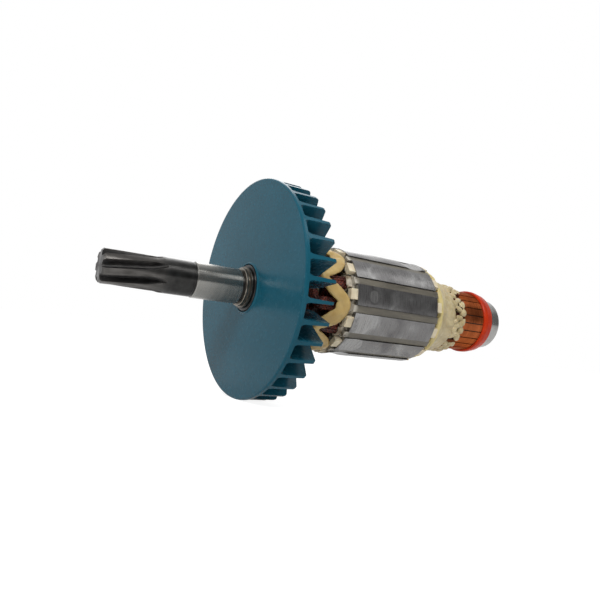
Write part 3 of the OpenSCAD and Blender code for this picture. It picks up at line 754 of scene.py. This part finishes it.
def binding_resin(draw):
    """Poured zigzag ribbon, wider after each peak, with a web in the crook of the peak."""
    verts, faces, rings = [], [], []
    count = 216
    for i in range(count):
        turn = 360 * i / count
        a = BEAD_PHASE + turn
        wave = math.cos(math.radians(turn * PEAKS))
        drop = 0.35 * (1 - wave)
        middle = at(bead_x + bead_swing * wave, bead_r - drop, a)
        ahead_x = bead_x + bead_swing * math.cos(math.radians((turn + 2) * PEAKS))
        ahead = at(ahead_x, bead_r - drop, a + 2)
        t = (ahead - middle).normalized()
        out = at(0, 1, a)
        side = t.cross(out).normalized()
        late = math.sin(math.radians(turn * PEAKS))
        swell = (1 + 0.06 * late + 0.14 * noise.noise(Vector((turn * 0.06, 3.1, 0)))
                 + 0.08 * noise.noise(Vector((turn * 0.2, 9.1, 0))))
        half = (BEAD_HALF - 0.35 + 1.5 * (1 - wave * wave)) * swell
        ring = []
        for b in (math.tau * k / 14 for k in range(14)):
            thick = BEAD_OVER if math.sin(b) > 0 else BEAD_UNDER
            ring.append(middle + side * half * math.cos(b) + out * (thick * math.sin(b)))
        rings.append(ring)
    sweep(verts, faces, rings)
    for k in range(PEAKS):
        a = BEAD_PHASE + 60 * k
        for shift, back, long, wide in BEAD_WEBS:
            b = a + shift + draw.uniform(-1, 1)
            place = at(bead_x + bead_swing - back, bead_r - 0.35, b)
            size = (long + draw.uniform(-0.3, 0.3), wide + draw.uniform(-0.3, 0.3), 1.15)
            blob(verts, faces, place, ALONG, at(0, 1, b + 90), at(0, 1, b), size)
    fused("binding_bead_resin", verts, faces, 0.42, 0.3, CREAM, ["binding_bead"])


def lead_cone():
    """Resin poured over the rear end turns: a thick lip and a ribbed cone down to the hooks."""
    lip = resin_r - 0.1
    # Place and radius round the skin: over the lip, down the cone to the hooks, and back inside
    profile = [(resin_x0, lip - 1.6), (resin_x0 + 0.3, lip - 0.7), (resin_x0 + 1.1, lip - 0.1),
               (resin_x0 + 2.4, lip), (resin_x0 + 3.6, lip - 0.9), (resin_x0 + 4.8, lip - 2.4),
               (resin_x0 + 7.5, lip - 3.5),
               (resin_x0 + 11, lip - 5.0), (resin_x1 - 3.5, bar_r + 0.9), (resin_x1 - 1.2, bar_r + 0.3),
               (resin_x1, bar_r - 0.4), (resin_x1, bar_r - 4.0), (resin_x1 - 4, bar_r - 4.4),
               (resin_x0 + 6, lip - 4.2), (resin_x0, lip - 3.6)]
    fine = []
    for (x0, r0), (x1, r1) in zip(profile, profile[1:] + profile[:1]):
        steps = max(1, round(math.hypot(x1 - x0, r1 - r0) / 0.5))
        fine += [(x0 + (x1 - x0) * i / steps, r0 + (r1 - r0) * i / steps) for i in range(steps)]
    verts, faces, rings = [], [], []
    count = 288
    for k in range(count):
        a = 360 * k / count
        ring = []
        for x, r in fine:
            share = (x - resin_x0) / (resin_x1 - resin_x0)
            cone = min(1, max(0, (share - 0.25) / 0.2)) * min(1, max(0, (1.02 - share) / 0.1))
            rib = abs(math.sin(math.radians((a - 14 * share + 5) * BARS / 2))) ** 0.7
            q = at(x, r, a)
            lump = noise.noise(q * 0.36) * 0.6 + noise.noise(q * 0.95 + Vector((7, 1, 3))) * 0.3
            outer = 1 if r > bar_r - 2.5 and r > lip - 3 - 6 * share else 0
            uneven = lump * (0.8 if share < 0.3 else 0.55)
            ring.append(at(x, r + outer * (0.42 * cone * (rib - 0.6) + uneven), a))
        rings.append(ring)
    sweep(verts, faces, rings)
    make("lead_resin_coat", verts, faces, PALE, ["lead_resin"])


# Rows of drops: share of the hook zone, shift in bars, half length, half width and half height
HOOK_DROPS = ((0.02, 0.5, 2.6, 2.1, 1.7), (0.36, 0.0, 3.3, 1.7, 1.8), (0.74, 0.5, 2.7, 2.45, 1.75))


def hook_coats(draw):
    """Resin over the hooks: three rows of drops that run into each other, with a few missing."""
    verts, faces = [], []
    step = 360 / BARS
    for k in range(BARS):
        for share, shift, long, wide, high in HOOK_DROPS:
            if draw.random() < 0.06:
                continue
            a = BAR_PHASE + (k + shift) * step + draw.uniform(-1.8, 1.8)
            across, out = at(0, 1, a + 90), at(0, 1, a)
            lean = across * draw.uniform(-0.3, 0.3)
            place = at(hooks_x0 + HOOK_ZONE * share + draw.uniform(-0.35, 0.35), bar_r - 0.85, a)
            size = (long + draw.uniform(-0.4, 0.4), wide + draw.uniform(-0.3, 0.25),
                    high + draw.uniform(-0.25, 0.2))
            blob(verts, faces, place, (ALONG + lean).normalized(), across, out, size)
    fused("hook_resin_drops", verts, faces, 0.26, 0.5, PALE)


# Paper collars: radius of their middle and of their tops, half width and half height, thickness,
# and how far the even and the odd ones stand out of the core
CUFF_R, CUFF_TOP = 22.45, 25.0
CUFF_HW, CUFF_HH = 3.05, 2.35
CUFF_SKIN = 0.28
CUFF_REACH = (5.0, 3.0)


def liner_cuffs(draw):
    """Crumpled paper collars where the coils leave the slots at the fan end."""
    verts, faces = [], []
    for k in range(SLOTS):
        middle = SLOT_PHASE + PITCH * k
        out, across = at(0, 1, middle), at(0, 1, middle + 90)
        seed = draw.uniform(0, 50)
        steps, rows = 40, 8
        reach = CUFF_REACH[k % 2]
        start, end = math.radians(-132), math.radians(132)
        skins = []
        for lift in (0.0, CUFF_SKIN):
            skin = []
            for i in range(steps + 1):
                b = start + (end - start) * i / steps
                c, d = math.cos(b), math.sin(b)
                u = math.copysign(abs(d) ** 0.55, d)
                v = math.copysign(abs(c) ** 0.55, c)
                column = []
                for j in range(rows + 1):
                    t = j / rows
                    crumple = noise.noise(Vector((b * 3.3, t * 2.6, seed))) * (0.4 + 1.2 * t)
                    ragged = noise.noise(Vector((b * 2.6, seed, 4.4))) * 1.5
                    wide = CUFF_HW + 0.5 * t * t + crumple * 0.7 + lift
                    high = CUFF_HH + 0.35 * t * t + crumple * 0.5 + lift
                    x = core_x0 + 0.2 - t * (reach + ragged)
                    r = min(CUFF_R + high * v, CUFF_TOP + lift + 0.6 * crumple)
                    column.append(Vector((x, 0, 0)) + out * r + across * wide * u)
                skin.append(column)
            skins.append(skin)
        base = len(verts)
        for skin in skins:
            for column in skin:
                verts.extend(column)
        skin_size = (rows + 1) * (steps + 1)

        def quad(*corners):
            """A face from corners given as skin, step and row."""
            faces.append(tuple(base + skin * skin_size + i * (rows + 1) + j for skin, i, j in corners))

        for i in range(steps):
            for j in range(rows):
                quad((0, i, j), (0, i, j + 1), (0, i + 1, j + 1), (0, i + 1, j))
                quad((1, i, j), (1, i + 1, j), (1, i + 1, j + 1), (1, i, j + 1))
            quad((0, i, rows), (1, i, rows), (1, i + 1, rows), (0, i + 1, rows))
            quad((0, i, 0), (0, i + 1, 0), (1, i + 1, 0), (1, i, 0))
        for j in range(rows):
            quad((0, 0, j), (1, 0, j), (1, 0, j + 1), (0, 0, j + 1))
            quad((0, steps, j), (0, steps, j + 1), (1, steps, j + 1), (1, steps, j))
    make("slot_liner_cuffs", verts, faces, FINISHES["slot_liners"])


binding_resin(draw)
lead_cone()
hook_coats(draw)
liner_cuffs(draw)


# ------------------------------------------------------- floor, light, camera
def seen(tree, mirrored=1.0):
    """1 for rays from the camera and refracted ones, and a given level for mirrored ones."""
    path = tree.nodes.new("ShaderNodeLightPath")
    level, first, second = (tree.nodes.new("ShaderNodeMath") for _ in range(3))
    level.operation = "MULTIPLY"
    level.inputs[1].default_value = mirrored
    first.operation = second.operation = "MAXIMUM"
    tree.links.new(path.outputs["Is Glossy Ray"], level.inputs[0])
    tree.links.new(path.outputs["Is Camera Ray"], first.inputs[0])
    tree.links.new(level.outputs[0], first.inputs[1])
    tree.links.new(first.outputs[0], second.inputs[0])
    tree.links.new(path.outputs["Is Transmission Ray"], second.inputs[1])
    return second.outputs[0]


def studio_world(ambient, room):
    """A white backdrop for the camera and for reflections, with a greyer room on the camera's side."""
    world = bpy.data.worlds.new("studio")
    world.use_nodes = True
    tree = world.node_tree
    tree.nodes.clear()
    soft, white = (tree.nodes.new("ShaderNodeBackground") for _ in range(2))
    soft.inputs["Color"].default_value = (1, 1, 1, 1)
    soft.inputs["Strength"].default_value = ambient
    white.inputs["Color"].default_value = (1, 1, 1, 1)
    place = tree.nodes.new("ShaderNodeTexCoord")
    split = tree.nodes.new("ShaderNodeSeparateXYZ")
    side = tree.nodes.new("ShaderNodeMapRange")
    side.inputs["From Min"].default_value, side.inputs["From Max"].default_value = -0.35, 0.25
    side.inputs["To Min"].default_value, side.inputs["To Max"].default_value = room, 1
    path = tree.nodes.new("ShaderNodeLightPath")
    level = tree.nodes.new("ShaderNodeMath")
    level.operation = "MAXIMUM"
    tree.links.new(place.outputs["Generated"], split.inputs[0])
    tree.links.new(split.outputs["Y"], side.inputs["Value"])
    tree.links.new(side.outputs["Result"], level.inputs[0])
    tree.links.new(path.outputs["Is Camera Ray"], level.inputs[1])
    tree.links.new(level.outputs[0], white.inputs["Strength"])
    mix = tree.nodes.new("ShaderNodeMixShader")
    out = tree.nodes.new("ShaderNodeOutputWorld")
    tree.links.new(seen(tree), mix.inputs[0])
    tree.links.new(soft.outputs[0], mix.inputs[1])
    tree.links.new(white.outputs[0], mix.inputs[2])
    tree.links.new(mix.outputs[0], out.inputs[0])
    bpy.context.scene.world = world


def floor(height):
    """A floor that is white to the camera, dimmer in reflections, and matt for light."""
    material = bpy.data.materials.new("floor")
    material.use_nodes = True
    tree = material.node_tree
    tree.nodes.clear()
    plain, glow = tree.nodes.new("ShaderNodeBsdfDiffuse"), tree.nodes.new("ShaderNodeEmission")
    plain.inputs["Color"].default_value = (0.86, 0.86, 0.86, 1)
    glow.inputs["Color"].default_value = (1, 1, 1, 1)
    glow.inputs["Strength"].default_value = 1.36
    share = tree.nodes.new("ShaderNodeMath")
    share.operation = "MULTIPLY"
    share.inputs[1].default_value = 0.66
    mix, out = tree.nodes.new("ShaderNodeMixShader"), tree.nodes.new("ShaderNodeOutputMaterial")
    tree.links.new(seen(tree, 0.5), share.inputs[0])
    tree.links.new(share.outputs[0], mix.inputs[0])
    tree.links.new(plain.outputs[0], mix.inputs[1])
    tree.links.new(glow.outputs[0], mix.inputs[2])
    tree.links.new(mix.outputs[0], out.inputs[0])
    mesh = bpy.data.meshes.new("floor")
    size = 6
    corners = [(x * size, y * size, height) for x, y in ((-1, -1), (1, -1), (1, 1), (-1, 1))]
    mesh.from_pydata(corners, [], [(0, 1, 2, 3)])
    mesh.materials.append(material)
    piece = bpy.data.objects.new("floor", mesh)
    bpy.context.scene.collection.objects.link(piece)


def softbox(name, place, target, size, power):
    """A square lamp that faces a target; size in metres, power in watts."""
    lamp = bpy.data.lights.new(name, "AREA")
    lamp.shape, lamp.size, lamp.energy = "SQUARE", size, power
    holder = bpy.data.objects.new(name, lamp)
    bpy.context.scene.collection.objects.link(holder)
    holder.location = place
    holder.rotation_euler = (Vector(target) - Vector(place)).to_track_quat("-Z", "Y").to_euler()


# The fitted camera: place in metres, view direction, direction to the right, and focal length
CAMERA_PLACE = (-0.10664, -0.25279, -0.02175)
CAMERA_FORWARD = (0.5209, 0.8510, 0.0667)
CAMERA_RIGHT = (0.8441, -0.5252, 0.1081)
FOCAL_MM = 34.5


def camera():
    """Set back to the left of the shaft and a little below it, tilted by a few degrees."""
    lens = bpy.data.cameras.new("camera")
    lens.lens, lens.sensor_width = FOCAL_MM, 36
    lens.clip_start, lens.clip_end = 0.01, 20
    holder = bpy.data.objects.new("camera", lens)
    bpy.context.scene.collection.objects.link(holder)
    forward = Vector(CAMERA_FORWARD).normalized()
    right = Vector(CAMERA_RIGHT).normalized()
    up = right.cross(forward)
    turn = Matrix((right, up, -forward)).transposed().to_4x4()
    holder.matrix_world = Matrix.Translation(CAMERA_PLACE) @ turn
    bpy.context.scene.camera = holder


studio_world(0.5, 0.24)
floor(cad_box[0].z)
middle = (0.06, 0, 0)
softbox("key", (-0.35, -0.50, 0.65), middle, 0.35, 6.5)
softbox("fill", (0.59, -0.36, 0.77), middle, 0.32, 1.2)
softbox("rim", (0.35, 0.75, 0.60), middle, 0.7, 3)
camera()
bpy.context.scene.view_settings.view_transform = "Standard"
